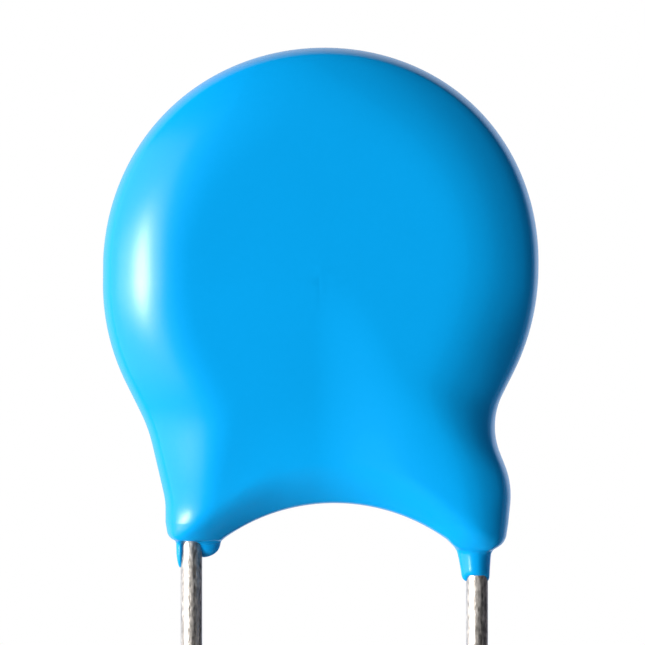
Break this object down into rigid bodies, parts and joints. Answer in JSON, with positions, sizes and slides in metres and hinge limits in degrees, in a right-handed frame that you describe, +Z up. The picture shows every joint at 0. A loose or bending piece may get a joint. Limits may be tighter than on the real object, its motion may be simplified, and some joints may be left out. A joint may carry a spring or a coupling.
{
  "type": "ceramic disc capacitor",
  "caption": "Round blue epoxy-dipped ceramic disc capacitor with radial tinned wire leads, an arched skirt between its legs and drained epoxy on the wires, for soldering into a board.",
  "frame": {"origin": "midway between the two free leads, on the plane where the board meets the lowest point of the coat", "axes": "+Z up, away from the board and along the leads; -Y is the front face, with its wire on the right; X runs from lead to lead"},
  "size_m": [0.0115, 0.0034, 0.034],
  "materials": {
    "blue_epoxy": "glossy dipped epoxy",
    "ceramic": "matt sintered ceramic",
    "fired_silver": "matt fired silver",
    "solder": "satin solder",
    "tinned_wire": "bright tinned wire with drawing streaks"
  },
  "bodies": {
    "root": {"epoxy_coat": "blue_epoxy", "ceramic_disc": "ceramic", "front_electrode": "fired_silver", "rear_electrode": "fired_silver", "front_solder": "solder", "rear_solder": "solder", "front_lead": "tinned_wire", "rear_lead": "tinned_wire"}
  },
  "joints": []
}
